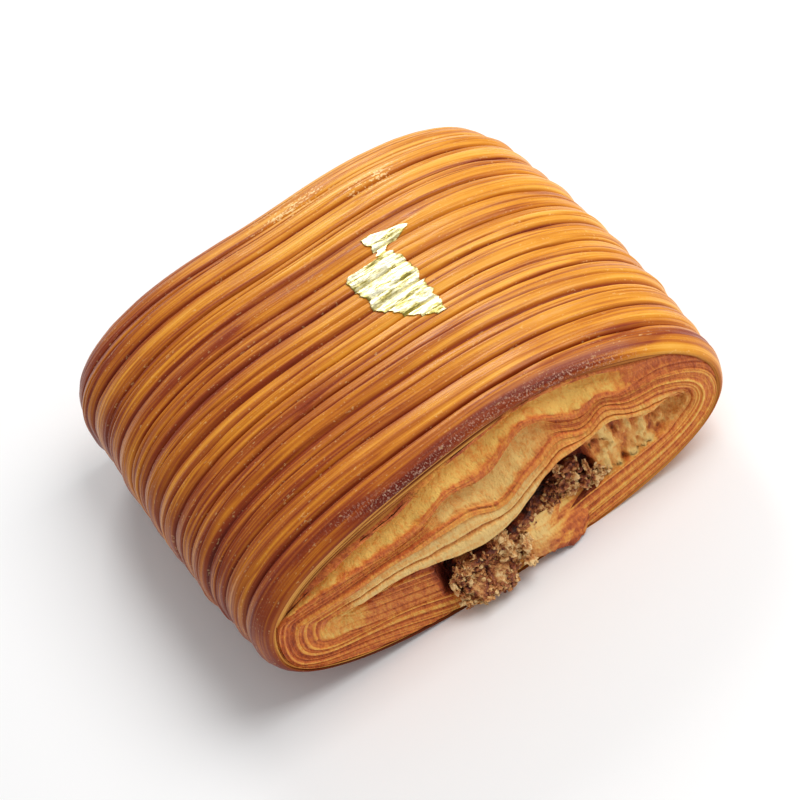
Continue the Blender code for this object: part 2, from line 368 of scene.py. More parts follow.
def lipRows(angle, end):
    inner = lipLevels(angle, end)
    levels = mix(inner, 1.0, np.linspace(0, 1, wrap["lipRows"])[:-1, None])
    ridge = 0.0 if end < 0 else float(ribs["count"])
    rimX, rimZ = section(angle, ridge / ribs["count"])
    coreX, coreZ = corePoints(angle)
    x, z = mix(coreX, rimX, levels), mix(coreZ, rimZ, levels)
    thickness = np.hypot(rimX - coreX, rimZ - coreZ)
    inward = (1 - levels) / (1 - inner)
    depth = (1 - levels) * thickness
    lines = softNoise(depth / 0.0006, x * 22, z * 22, 31)
    lines = lines + 0.6 * softNoise(depth / 0.00028, x * 30, z * 30, 32)
    recess = 0.0004 * inward + 0.0008 * smooth(depth / 0.004 - 0.2)
    recess = recess + 0.00030 * (lines + 1) * smooth(inward * 4)
    y = end * (roll["length"] / 2 - np.maximum(recess, 0))
    order = slice(None) if end < 0 else slice(None, None, -1)
    return [value[order] for value in np.broadcast_arrays(x, y, z, np.clip(0.40 + 0.50 * lines, 0, 1), 1.0)]


def wallRows(angle, depths, end):
    ridge = 0.0 if end < 0 else float(ribs["count"])
    rimX, rimZ = section(angle, ridge / ribs["count"])
    coreX, coreZ = corePoints(angle)
    inner = lipLevels(angle, end)
    x, z = mix(coreX, rimX, inner), mix(coreZ, rimZ, inner)
    y = end * (roll["length"] / 2 - depths)
    return x, y, z, 0.9, 1.0


def makeWrap():
    angle = around(wrap["around"])
    depths = steps(wrap["wallDepth"], 0.0006, wrap["wallRows"])
    ridge = steps(0, ribs["count"], wrap["skinRows"])
    x, y, z, dark = skinPoints(angle, ridge)
    skin = (x, y, z, dark, 0.0)
    parts = [wallRows(angle, depths, -1), lipRows(angle, -1), skin, lipRows(angle, 1)]
    parts.append(wallRows(angle, depths[::-1], 1))
    x, y, z, dark, lip = (np.concatenate([value, value[:1]]) for value in stacked(parts))
    fromFront = y + roll["length"] / 2
    y = y + rimSetBack(x, z, y)
    onLeft, onRight, half = wrap["burnt"]
    middle = mix(onLeft, onRight, smooth((x + 0.034) / 0.030))
    streaks = layeredNoise(x * 45, fromFront * 2600, z * 45, 41)
    away = fromFront - middle - 0.0007 * softNoise(x * 70, 0.0, z * 70, 43)
    burnt = bell(away / half) * (0.75 + 0.45 * streaks)
    burnt = np.clip(burnt, 0, 1) * smooth((z - 0.020) / 0.012) * (1 - lip)
    burnt = burnt * smooth((0.050 - x) / 0.02) * mix(0.25, 1, smooth((x + 0.034) / 0.014))
    bakeAndShade = bakeAndShadeShare(x, y, z)
    rib = fromFront / roll["length"] * ribs["count"]
    values = {"groove": dark, "cutLip": lip, "burnt": burnt, "bakeAndShade": bakeAndShade, "rib": rib}
    piece = shapedGrid("wrap", seated(x, y, z), values)
    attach(piece, "root")
    return piece


bakingAndShade = {
    "least": 0.25,
    "side": 0.35,  # more on the -X side: deeper bake, and painted shade on that darker side
    "lowSide": 0.30,  # more low down on that side: painted shade, with deeper bake
    "farSide": 0.30,  # more at its back: painted shade where the roll turns down
    "front": 0.13,
    "back": 0.08,  # less at the back: lighter bake, partly a painted sheen there
    "patches": 0.09,
}


# how deeply the crust is baked, from 0 to 1, together with painted shade on the -X side and low down on it,
# and a painted sheen that lightens the back
def bakeAndShadeShare(x, y, z):
    side = smooth((0.024 - x) / 0.078)
    low = smooth((0.030 - z) / 0.030)
    front = smooth((0.012 - y) / 0.055)
    back = smooth((y - 0.012) / 0.035)
    patch = bakingAndShade["patches"] * layeredNoise(x * 30, y * 40, z * 30, 51)
    far = bakingAndShade["farSide"] * side ** 3 * back
    share = bakingAndShade["least"] + bakingAndShade["side"] * side + bakingAndShade["lowSide"] * low * side
    share = share + bakingAndShade["front"] * front - bakingAndShade["back"] * back
    return np.clip(share + far + patch, 0, 1)


# the layers inside the wrap; levels run from 1 at the skin to 0 at the core and -1 at the channel
innerRoll = {
    "around": (400, 300),  # at the front half and at the back half
    "endRings": (214, 130),
    "wallRows": 4,
    "rimLevel": 0.939,
    "sheets": ((0.635, 0.545), (0.165, 0.060)),  # top and bottom level of the two laminated sheets
    "mouthLevel": -0.25,
    "bandDepth": (0.0036, 0.0032),
    "ruffle": (0.010, 190),
    "wave": (0.20, 0.046, 0.0085),  # height as a part of the level, length and start along X, at the back
    "fullThickness": 0.020,
    # brownness, from 0 to 1
    "wallBrown": 0.7,
    "pressedBrown": 0.46,
    "bandBrown": 0.04,
    "firstBandBrown": (-0.11, 0.14),  # how much browner the upper band is, and how much more in its middle
    "sheetBrown": 0.41,
    "gapShadeBrown": 0.85,
    "bandPale": (0.06, 0.45),
    "laminations": (0.00028, 0.00062),
    # where each band opens along X: start, fade, stop, fade
    "windows": ((-0.050, 0.008, 0.040, 0.008), (-0.014, 0.005, 0.021, 0.005)),
    "levelRows": 320,
    "leastGap": 0.03,  # between the levels of two lines
    "lineEnds": (35, 162),  # angles in degrees up to which the lines are followed
    # lines on the front, in millimetres: an arch as x and z of its top and its fall on the left and right,
    # for each centimetre squared, and bends in it as x, rise and half width
    "lines": {
        "lip": {"arch": (16, 40.5, 0.33, 1.35), "bends": ((-20, -1.5, 8),)},
        "upper": {
            "arch": (0, 30.5, 0.16, 0.16),
            "bends": ((-20, -1.5, 8), (-6, 2.5, 5), (14, 6, 7), (30, 2, 3)),
        },
        "lower": {"arch": (0, 25.5, 0.10, 0.10), "bends": ((3, -4, 5), (19, 3, 4), (30, 3, 4))},
        "mouth": {"arch": (0, 21, 0.06, 0.06), "bends": ((-3, -6, 13), (18, 3, 8), (30, 3.5, 6))},
    },
}


def lineHeight(name, x):
    line = innerRoll["lines"][name]
    middle, top, leftFall, rightFall = line["arch"]
    away = (x * 1000 - middle) / 10
    height = top - np.where(away < 0, leftFall, rightFall) * away * away
    for place, rise, width in line["bends"]:
        height = height + rise * bell((x * 1000 - place) / width)
    return height / 1000


# where a line crosses the way from the skin to the channel at each angle
def crossings(x, z, levels, name):
    above = z - lineHeight(name, x)
    under = above <= 0
    under[-1] = True
    first = np.maximum(np.argmax(under, axis=0), 1)
    column = np.arange(x.shape[1])
    before, after = above[first - 1, column], above[first, column]
    share = np.clip(before / np.maximum(before - after, 1e-9), 0, 1)
    found = mix(levels[first - 1, 0], levels[first, 0], share)
    weights = np.array((1, 2, 3, 2, 1)) / 9
    return np.convolve(np.pad(found, 2, mode="wrap"), weights, mode="valid")


def facePoints(angle, level, end):
    ridge = 0.0 if end < 0 else 1.0
    rimX, rimZ = section(angle, ridge)
    coreX, coreZ = corePoints(angle)
    channelX, channelZ = channelPoints(angle)
    outward, inward = np.clip(level, 0, 1), np.clip(-level, 0, 1)
    x, z = mix(coreX, rimX, outward), mix(coreZ, rimZ, outward)
    return mix(x, channelX, inward), mix(z, channelZ, inward)


# the level at which the lip ends and the bands begin
def lipLevels(angle, end):
    flat = np.full(angle.shape, wrap["innerLevel"])
    if end > 0:
        return flat
    levels = steps(1, -1, innerRoll["levelRows"])
    x, z = facePoints(angle, levels, end)
    found = np.clip(crossings(x, z, levels, "lip")[None, :], 0.80, 0.968)
    rimX = facePoints(angle, np.ones((1, 1)), end)[0]
    share = smooth((np.sin(angle) - 0.10) / 0.35) * smooth((0.047 - rimX) / 0.012)
    return mix(flat, found, share)


# past the two ends of the lines, their last levels are carried on round the roll
def heldLevels(angle, found):
    right, left = (math.radians(value) for value in innerRoll["lineEnds"])
    nearest = np.clip(np.where(angle > 1.5 * math.pi, right, angle), right, left)
    return np.interp(nearest, angle, found)


# the true level for each nominal one, so that the sheets follow their lines on the front
def movedLevels(angle, level, end):
    if end > 0:
        height, length, start = innerRoll["wave"]
        outward = np.clip(level, 0, 1)
        x = facePoints(angle, np.ones_like(level[:1]), end)[0]
        wave = height * np.sin(2 * math.pi * (x + start) / length) * smooth(2 * np.sin(angle))
        return level + wave * 4 * outward * (1 - outward) * smooth(outward / 0.2)
    levels = steps(1, -1, innerRoll["levelRows"])
    x, z = facePoints(angle, levels, end)
    share = smooth((np.sin(angle[0]) + 0.85) / 0.85)
    nominal, true = [-1.0], [np.full(angle.shape[1], -1.0)]
    upper, lower = (sum(pair) / 2 for pair in innerRoll["sheets"])
    for place, line in ((innerRoll["mouthLevel"], "mouth"), (lower, "lower"), (upper, "upper")):
        nominal.append(place)
        height, rate = innerRoll["ruffle"]
        wavy = height * softNoise(x[0] * rate, 0.0, len(true) * 3.3, 64)
        found = crossings(x, z, levels, line) + wavy * (place > 0)
        true.append(mix(place, heldLevels(angle[0], found), share))
    nominal.append(innerRoll["rimLevel"])
    true.append(lipLevels(angle, end)[0] - (wrap["innerLevel"] - innerRoll["rimLevel"]))
    for number in range(1, len(true) - 1):
        true[number] = np.maximum(true[number], true[number - 1] + innerRoll["leastGap"])
    for number in range(len(true) - 2, 0, -1):
        true[number] = np.minimum(true[number], true[number + 1] - innerRoll["leastGap"])
    return np.stack([np.interp(level[:, 0], nominal, column) for column in np.array(true).T], axis=1)


# depth below the end plane, brownness and paleness of the cut face, and the patterns they are made of
def faceRelief(angle, level, x, z, end):
    rimX, rimZ = section(angle, 0.0 if end < 0 else 1.0)
    coreX, coreZ = corePoints(angle)
    thickness = np.hypot(rimX - coreX, rimZ - coreZ)
    seed = 60 if end < 0 else 160
    puff = smooth((thickness - 0.011) / 0.009) * smooth(3 * np.sin(angle))
    relief = smooth(thickness / innerRoll["fullThickness"]) * mix(0.4, 1, smooth(3 * np.sin(angle)))
    relief = np.maximum(0.22, relief)
    sheet = level * thickness
    fine, coarse = innerRoll["laminations"]
    warp = softNoise(x * 60, 0.0, z * 60, seed)
    lines = 1.1 * softNoise(sheet / coarse + 0.25 * warp, x * 12, z * 12, seed + 5)
    lines = np.clip(lines + 0.9 * softNoise(sheet / fine + 0.25 * warp, x * 16, z * 16, seed + 6), -1.2, 1.2)
    cells = clumps(x * 520 + warp, z * 360 + 7, seed + 1)
    rough = layeredNoise(x * 620, 0.0, z * 420, seed + 2)
    sway = softNoise(x * 110, 0.0, z * 60, seed + 3)
    (upperTop, upperLow), (lowerTop, lowerLow) = innerRoll["sheets"]
    # laminated dough: everywhere that the layers are pressed together, and on the sheets' edges
    depth = 0.00040 + 0.00030 * lines + 0.00040 * softNoise(x * 90, 0.0, z * 90, seed + 4)
    brown = innerRoll["pressedBrown"] + 0.15 * lines + 0.09 * warp - 0.16 * smooth((-0.45 - lines) / 0.3)
    pale = np.zeros_like(depth)
    for number, (low, high) in enumerate(((upperTop, 0.905), (lowerTop, upperLow))):
        up = np.clip((level - low) / (high - low), 0, 1)
        start, fadeIn, stop, fadeOut = innerRoll["windows"][number]
        opened = smooth((x - start) / fadeIn) * smooth((stop - x) / fadeOut)
        inside = smooth((level - low) / 0.015) * smooth((high - level) / 0.012) * puff * opened
        hollow = innerRoll["bandDepth"][number] * relief * (0.08 + 0.92 * smooth(up * 1.2))
        hollow = hollow * (1 - 0.5 * smooth((up - 0.72) / 0.28))
        fibres = softNoise(x * 900 + 0.5 * warp, 0.0, z * 170, seed + 7)
        bandDepth = hollow + 0.00055 * (cells - 0.4) + 0.00045 * rough + 0.00045 * fibres + 0.0005 * sway
        depth = mix(depth, bandDepth, inside)
        nearSheet = 0.16 * smooth((0.22 - up) / 0.2)
        # browner towards the top of each band: painted shade under the layer above
        bandBrown = innerRoll["bandBrown"] + nearSheet + 0.20 * smooth((up - 0.60) / 0.4)
        bandBrown = bandBrown + 0.14 * (cells - 0.4)
        bandBrown = bandBrown + 0.14 * fibres - 0.06 * rough
        if number == 0:
            change, middleChange = innerRoll["firstBandBrown"]
            bandBrown = bandBrown + middleChange * bell((x - 0.004) / 0.018) + change
        brown = mix(brown, bandBrown, inside)
        pale = np.maximum(pale, inside * innerRoll["bandPale"][number])
    for top, low in innerRoll["sheets"]:
        edge = smooth((level - low + 0.02) / 0.03) * smooth((top + 0.02 - level) / 0.03) * puff
        out = 0.00045 + 0.00045 * softNoise(x * 130, z * 40, 0.0, seed + 8)
        out = out if end < 0 else out - 0.0009
        depth = mix(depth, 0.00026 * lines - out, edge)
        brown = mix(brown, innerRoll["sheetBrown"] + 0.18 * lines + 0.10 * warp, edge)
    # the loose edge of the outermost layer, and the gap beside it on the left, pushed in and painted dark:
    # painted shade in the gap
    side = bell((angle - 3.45) / 0.40) * smooth((level - 0.918) / 0.012) if end < 0 else 0.0
    depth = depth + 0.0026 * side
    brown = np.maximum(brown, innerRoll["gapShadeBrown"] * side)
    return depth, brown, pale, lines, rough, warp


# the core zone: cream sheet and rolled middle on the left, open crumb and hollow pocket on the right
heart = {
    "creamEdge": 0.0010,  # how far the cream sheet stands out
    "scroll": (-0.036, 0.0165, -0.33),  # where the rolled middle's centre line starts, and its slope
    "mouthFrom": -0.0145,
    "mouthDepth": 0.0042,
    "crumbFrom": 0.0225,
    "crumbDepth": 0.0012,
    "fingerDepth": 0.0008,
    "pocket": (0.0435, 0.0165, 0.0050, 0.0040),  # x, z, half width and half height
    "pocketDepth": 0.0034,
    # brownness and paleness of each zone, from 0 to 1; the cream sheet's on the right and on the left
    "cream": (0.30, 0.16, 0.20, 0.70),
    "rolled": (0.42, 0.15),
    "crumb": (0.20, 0.55),
    "pocketTones": (0.30, 0.7),
    # the mouth's dark brown is painted shade in the recess
    "mouth": (0.84, 0.1),
    "yellow": (-0.0360, 0.0165, 0.0060, 0.0035),  # the scroll's bright middle: x, z, half width, half height
}


def heartRelief(angle, level, x, z, face, end):
    depth, brown, pale, lines, rough, warp = face
    edge = innerRoll["mouthLevel"]
    lowerLow = innerRoll["sheets"][1][1]
    top = smooth(np.sin(angle) / 0.25 + 0.2)
    inCore = smooth((lowerLow - level) / 0.02)
    cream = inCore * smooth((level - edge) / 0.02) * top * smooth((x + 0.0365) / 0.006)
    share = np.clip((lowerLow - level) / (lowerLow - edge), 0, 1)
    seam = bell((share - 0.52 - 0.10 * warp) / 0.06)
    out = heart["creamEdge"] * (1.0 if end < 0 else 0.1) * smooth(share * 1.6)
    out = out * mix(0.3, 1, smooth((0.030 - x) / 0.012))
    depth = mix(depth, 0.00025 * rough + 0.0003 * warp - out + 0.0009 * seam, cream)
    creamy = smooth((0.017 - x) / 0.006)
    rightBrown, leftBrown, rightPale, leftPale = heart["cream"]
    creamBrown = mix(rightBrown, leftBrown, creamy) + 0.10 * lines + 0.08 * warp + 0.36 * seam
    brown = mix(brown, creamBrown - 0.10 * share, cream)
    pale = mix(pale, mix(rightPale, leftPale, creamy), cream)
    middle = smooth((edge - level) / 0.02)
    middle = np.where(np.sin(angle) > 0, middle, smooth(-level / 0.05))
    # rolled middle on the left
    left = smooth((heart["mouthFrom"] + 0.002 - x) / 0.003)
    turn = np.clip((edge - level) / (1 + edge), 0, 1)
    above = smooth(np.sin(angle) / 0.2)
    # the two gap lines are pushed in and painted dark: painted shadow under the cream sheet and between the
    # turns
    gapLine = bell((turn - 0.05) / 0.05) * above * mix(0.3, 1, smooth((x + 0.030) / 0.010))
    secondGap = bell((turn - 0.20) / 0.035) * above
    centreX, centreZ, slope = heart["scroll"]
    away = z - centreZ - slope * np.maximum(x - centreX, 0)
    ring = np.hypot(np.minimum(x - centreX, 0) * 0.55, away)
    fine, coarse = innerRoll["laminations"]
    turns = 1.1 * softNoise(ring / coarse, x * 12, 0.0, 75) + 0.9 * softNoise(ring / fine, x * 16, 0.0, 76)
    lines = mix(lines, np.clip(turns, -1.2, 1.2), middle * left)
    rolledDepth = 0.0004 + 0.0020 * gapLine + 0.0008 * secondGap + 0.00028 * lines
    depth = mix(depth, rolledDepth, middle * left)
    rolledBrown = heart["rolled"][0] + 0.20 * lines + 0.4 * gapLine + 0.2 * secondGap
    rolledBrown = rolledBrown - 0.26 * bell((turn - 0.12) / 0.05)
    brown = mix(brown, rolledBrown, middle * left)
    pale = mix(pale, heart["rolled"][1], middle * left)
    middleX, middleZ, halfWidth, halfHeight = heart["yellow"]
    yellow = bell((((x - middleX) / halfWidth) ** 2 + ((z - middleZ) / halfHeight) ** 2) ** 2)
    brown = mix(brown, 0.10 + 0.10 * lines, yellow * 0.85)
    depth = depth + 0.0004 * yellow
    # open crumb on the right
    right = smooth((x - heart["crumbFrom"]) / 0.003)
    seed = 171 if end > 0 else 71
    fingers = softNoise(x * 700 + 1.2 * warp, z * 190, 0.0, seed + 1)
    fingers = fingers + 0.8 * softNoise(x * 1300, z * 700, 0.0, seed)
    crumbDepth = heart["crumbDepth"] + heart["fingerDepth"] * fingers + 0.00045 * rough
    depth = mix(depth, crumbDepth, middle * right)
    # browner where the fingers sink deeper: painted shade between them
    brown = mix(brown, heart["crumb"][0] + 0.34 * fingers + 0.10 * rough, middle * right)
    pale = mix(pale, heart["crumb"][1], middle * right)
    pocketX, pocketZ, halfWidth, halfHeight = heart["pocket"]
    pocket = bell(((x - pocketX) / halfWidth) ** 2 + ((z - pocketZ) / halfHeight) ** 2) * (end < 0)
    arcs = bell((z - pocketZ - 0.0012) / 0.0009) + 0.6 * bell((z - pocketZ - 0.0032) / 0.0006)
    depth = depth + heart["pocketDepth"] * pocket * (0.6 + 0.4 * arcs)
    brown = mix(brown, heart["pocketTones"][0] + 0.34 * arcs + 0.10 * lines, pocket)
    pale = mix(pale, heart["pocketTones"][1], pocket)
    # the mouth that the filling shows in; its walls are pushed in and painted dark brown as shade
    mouth = middle * (1 - left) * (1 - right)
    depth = mix(depth, heart["mouthDepth"] * (1.0 if end < 0 else 0.5), mouth * smooth(turn / 0.12 + 0.1))
    shade = middle * (1 - smooth((heart["mouthFrom"] + 0.0004 - x) / 0.0025)) * (1 - right)
    brown = mix(brown, heart["mouth"][0] + 0.2 * turn, shade)
    pale = mix(pale, heart["mouth"][1], mouth)
    return depth, brown, pale


def endRings(angle, level, end):
    moved = movedLevels(angle, level, end)
    x, z = facePoints(angle, moved, end)
    level = np.broadcast_to(level, x.shape)
    face = faceRelief(angle, level, x, z, end)
    depth, brown, pale = heartRelief(angle, level, x, z, face, end)
    y = end * (roll["length"] / 2 - depth)
    y = y + rimSetBack(x, z, y)
    return x, y, z, brown, pale


def innerWall(angle, ys, end):
    rimX, rimZ = section(angle, ys / roll["length"] + 0.5)
    coreX, coreZ = corePoints(angle)
    level = lipLevels(angle, end) - 0.02
    level = np.minimum(level, innerRoll["rimLevel"] - 0.004)
    return mix(coreX, rimX, level), ys, mix(coreZ, rimZ, level), innerRoll["wallBrown"], 0.0


# half of the layered inside, closed where the halves meet
def makeInnerRoll(name, end):
    which = 0 if end < 0 else 1
    angle = around(innerRoll["around"][which])
    level = steps(-1, innerRoll["rimLevel"], innerRoll["endRings"][which])
    half = roll["length"] / 2
    ys = end * np.linspace(half - 0.006, 0, innerRoll["wallRows"])[:, None]
    channelX, channelZ = channelPoints(angle)
    channel = (channelX, ys[::-1], channelZ, innerRoll["wallBrown"], 0.0)
    parts = [endRings(angle, level, end), innerWall(angle, ys, end), channel]
    x, y, z, brown, pale = (np.concatenate([value, value[:1]]) for value in stacked(parts))
    piece = shapedGrid(name, seated(x, y, z), {"brown": brown, "pale": pale})
    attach(piece, "root")
    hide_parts("pastry")
    return piece


wrapPiece = makeWrap()
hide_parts("pastry")
frontRoll = makeInnerRoll("innerRollFront", -1)
backRoll = makeInnerRoll("innerRollBack", 1)
print("crust and layers", [len(piece.data.polygons) for piece in (wrapPiece, frontRoll, backRoll)])


# the filling: a dark crumbly bar through the roll, whose crumbs spill over the front lip
filling = {
    "around": 300,
    "capRings": 90,
    "bodyRows": 8,
    "gap": 0.0004,
    "crumbX": -0.0075,
    "crumbHalfWidth": 0.0085,
    "drop": 0.0030,
    "spill": 0.0036,
    "cavity": (0.0030, 0.0136),  # how far the rest stands back, and how far from the crumbs that starts
    "backInset": 0.0020,
    "lump": 0.0010,
    "hole": (0.0120, 0.0165, 0.0040, 0.0032, 0.0040),  # dark hollow: x, z, half width, half height, depth
    "frontGap": 0.0006,
    "tone": 0.38,
}


# 1 in the middle of the dark hollow, falling to 0 round it
def holeShare(x, z):
    holeX, holeZ, halfWidth, halfHeight = filling["hole"][:4]
    return bell(((x - holeX) / halfWidth) ** 2 + ((z - holeZ) / halfHeight) ** 2)


def crumbShare(x, angle):
    away = (x - filling["crumbX"]) / filling["crumbHalfWidth"]
    share = bell(away ** 2) * smooth(0.35 - 1.3 * np.sin(angle))
    return smooth((share - 0.3) / 0.7) * smooth((x + 0.0128) / 0.0034)


def fillingRows(angle, y, size, drop, spill, cavity):
    wallX, wallZ = channelPoints(angle, filling["gap"])
    x = mix(core["channelCentre"], wallX, size)
    z = coreLine(x) + (wallZ - coreLine(wallX)) * size
    share = crumbShare(x, angle)
    stand = 1 - smooth(3 * bell(((x - filling["crumbX"]) / filling["cavity"][1]) ** 2))
    stand = stand + 0.8 * smooth((x - 0.0170) / 0.0060)
    cap = smooth((1 - size) / 0.10)
    z = z - drop * share * size
    bits = layeredNoise(x * 520, z * 520, size * 2, 92)
    grains = 0.5 - 2 * np.abs(softNoise(x * 1500, z * 1500, 0.0, 93))
    lump = 0.9 * layeredNoise(x * 330, z * 330, size * 2, 91) + 0.9 * bits + 0.35 * grains
    y = y - spill * share * cap + cavity * stand - filling["lump"] * lump * cap
    hole = holeShare(x, z) * (y < 0)
    y = y + filling["hole"][4] * hole * cap
    tone = filling["tone"] + 0.35 * bits + 0.3 * softNoise(x * 600, z * 600, 0.0, 94)
    tone = tone + 0.10 * smooth((0.004 - x) / 0.008)
    # painted shade: the paste is darker in the hollow and on its left side, which stand in shadow
    side = smooth((-0.0095 - x) / 0.0020)
    tone = np.clip(tone - 0.6 * hole - 0.8 * side, 0, 1)
    return x, y, z, share * cap, tone


def makeFilling():
    angle = around(filling["around"])
    half, gap, inset = roll["length"] / 2, filling["frontGap"], filling["backInset"]
    depth = filling["cavity"][0]
    sizes = steps(0, 1, filling["capRings"])
    frontYs = -half - gap - gap * (1 - sizes)
    front = fillingRows(angle, frontYs, sizes, filling["drop"], filling["spill"], depth)
    bodyYs = steps(-half - 0.0004, half - inset, filling["bodyRows"])
    fade = depth * (np.arange(filling["bodyRows"])[:, None] == 0)
    body = fillingRows(angle, bodyYs, 1.0, 0.0, 0.0, fade)
    backSizes = sizes[::-1][1:]
    backYs = half - inset + 0.0008 * (1 - backSizes)
    back = fillingRows(angle, backYs, backSizes, 0.0, 0.0, 0.0)
    x, y, z, share, tone = stacked([front, body, back])
    piece = shapedGrid("fillingPaste", seated(x, y, z), {"crumbly": share, "tone": tone})
    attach(piece, "root")
    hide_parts("filling")
    return piece


leaf = {
    "rows": 130,
    "columns": 64,
    "lift": 0.00014,
    "thickness": 0.00006,
    "ragged": 0.0009,
    "crumple": 0.00008,
    "border": 0.035,
    # the body: its sides, its ends, the place and width of its tip, and how late its sides turn in to that
    "sides": (0.0030, 0.0160),
    "ends": (-0.0160, 0.0080),
    "tip": (0.0145, 0.0020),
    "powers": (3, 8),
    "corner": 0.0015,
    # the neck's place across, width and length; the head's length, and its tail's length and half width
    "neck": (0.0130, 0.0022, 0.0020),
    "head": (0.0050, 0.0080, 0.0016),
}


def leafEdges(y):
    (sideLeft, sideRight), (front, back) = leaf["sides"], leaf["ends"]
    (tipX, tipWidth), (leftPower, rightPower) = leaf["tip"], leaf["powers"]
    place = np.clip((back - y) / (back - front), 0, 1)
    bodyLeft = mix(sideLeft, tipX - tipWidth / 2, place ** leftPower)
    bodyRight = mix(sideRight, tipX + tipWidth / 2, place ** rightPower)
    bodyRight = bodyRight - leaf["corner"] * (1 - place) ** rightPower
    neckX, neckWidth, neckLength = leaf["neck"]
    headLength, tailLength, tailHalf = leaf["head"]
    headFront = back + neckLength
    head = np.clip((y - headFront) / headLength, 0, 1)
    tail = tailLength * bell((y - headFront - headLength / 2) / tailHalf)
    neckLeft = neckX - neckWidth / 2 * (1 + head)
    neckRight = neckX + neckWidth / 2 * (1 - head) + tail
    return np.where(y <= back, bodyLeft, neckLeft), np.where(y <= back, bodyRight, neckRight)


def makeGoldLeaf():
    last = leaf["ends"][1] + leaf["neck"][2] + leaf["head"][0]
    ys = np.linspace(leaf["ends"][0], last, leaf["rows"])
    left, right = leafEdges(ys)
    left = left + leaf["ragged"] * layeredNoise(ys * 900, 0.0, 0.0, 101)
    right = right + leaf["ragged"] * layeredNoise(ys * 900, 5.0, 0.0, 102)
    right = np.maximum(right, left + 0.0006)
    across = np.linspace(0, 1, leaf["columns"])[None, :]
    x = mix(left[:, None], right[:, None], across)
    ridge = np.broadcast_to((ys[:, None] / roll["length"] + 0.5) * ribs["count"], x.shape)
    samples = np.linspace(math.radians(20), math.radians(160), 400)[None, :]
    skinX = section(samples, ridge[:, :1] / ribs["count"])[0]
    angle = np.stack([np.interp(-row, -xs, samples[0]) for row, xs in zip(x, skinX)])
    crumple = leaf["crumple"] * (0.5 + 0.5 * layeredNoise(x * 500, ridge * 2, 0.0, 103))
    x, y, z, dark = skinPoints(angle, ridge, leaf["lift"] + crumple)
    border = np.maximum(bell(across / leaf["border"]), bell((1 - across) / leaf["border"]))
    piece = shapedGrid("goldLeaf", seated(x, y, z), {"groove": dark, "border": border})
    if piece.data.polygons[0].normal.z < 0:
        piece.data.flip_normals()
    thick = piece.modifiers.new("thickness", "SOLIDIFY")
    thick.thickness = leaf["thickness"]
    thick.offset = 1
    bpy.ops.object.modifier_apply(modifier=thick.name)
    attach(piece, "root")
    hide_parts("gold_leaf")
    return piece


crumbs = {
    # heaps of lumps in the mouth: middle x and z, half width and half height, how far in front of the end
    # plane at the top and at the foot, how many, and how pale
    "heaps": (
        (0.0155, 0.0145, 0.0085, 0.0036, (-0.0026, -0.0010), 95, 0.43),
        (0.0230, 0.0120, 0.0040, 0.0022, (-0.0014, -0.0010), 26, 0.62),
        (-0.0056, 0.0080, 0.0078, 0.0062, (-0.0006, 0.0022), 110, 0.49),
        (0.0008, 0.0105, 0.0016, 0.0034, (0.0004, 0.0018), 22, 0.74),
        (-0.0085, 0.0036, 0.0050, 0.0022, (0.0016, 0.0026), 34, 0.72),
        (0.0038, 0.0078, 0.0015, 0.0038, (0.0016, 0.0030), 20, 0.82),
    ),
    "lumpSize": (0.0005, 0.0013),
    "lumpStretch": (0.5, 1.7),
    "count": 880,
    "size": (0.00018, 0.00055),
    "stretch": (0.6, 1.3),
    "tone": (0.05, 0.70),
    "seed": 7,
}


# a ball's points and faces
def ballShape(subdivisions):
    bpy.ops.object.select_all(action="DESELECT")
    bpy.ops.mesh.primitive_ico_sphere_add(subdivisions=subdivisions, radius=1)
    ball = bpy.context.object
    points = np.array([vertex.co for vertex in ball.data.vertices])
    return ball, points, [tuple(face.vertices) for face in ball.data.polygons]


def ballNoise(ball, rate, shift, seed, octaves=3):
    x, y, z = (ball * rate).T
    return layeredNoise(x + shift, y, z, seed, octaves)


